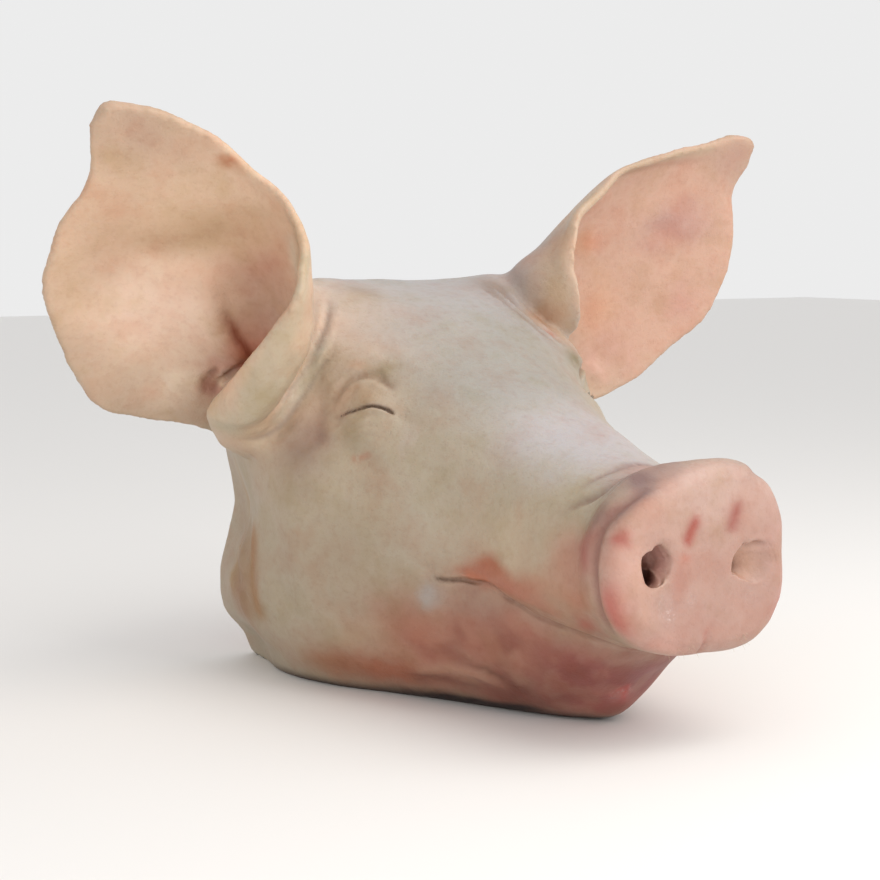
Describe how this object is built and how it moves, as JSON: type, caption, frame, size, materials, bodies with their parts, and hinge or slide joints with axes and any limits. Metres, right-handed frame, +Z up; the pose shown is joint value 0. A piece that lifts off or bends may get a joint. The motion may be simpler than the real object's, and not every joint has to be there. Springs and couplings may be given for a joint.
{
  "type": "pig head",
  "caption": "Whole pig's head with erect ears, closed eyes and a flat snout disc, cut off behind the ears and resting on its jaw.",
  "frame": {"origin": "on the flat under the jaw, on the middle line of the head, below the eyes' rear corners", "axes": "+Z up, -Y from the neck cut towards the snout, +X towards the pig's own left ear"},
  "size_m": [0.3915, 0.28, 0.2683],
  "materials": {
    "skin": "pale, shaved, slightly damp pig skin with pink ears, jaw and snout"
  },
  "bodies": {
    "root": {"head": "skin"}
  },
  "joints": []
}
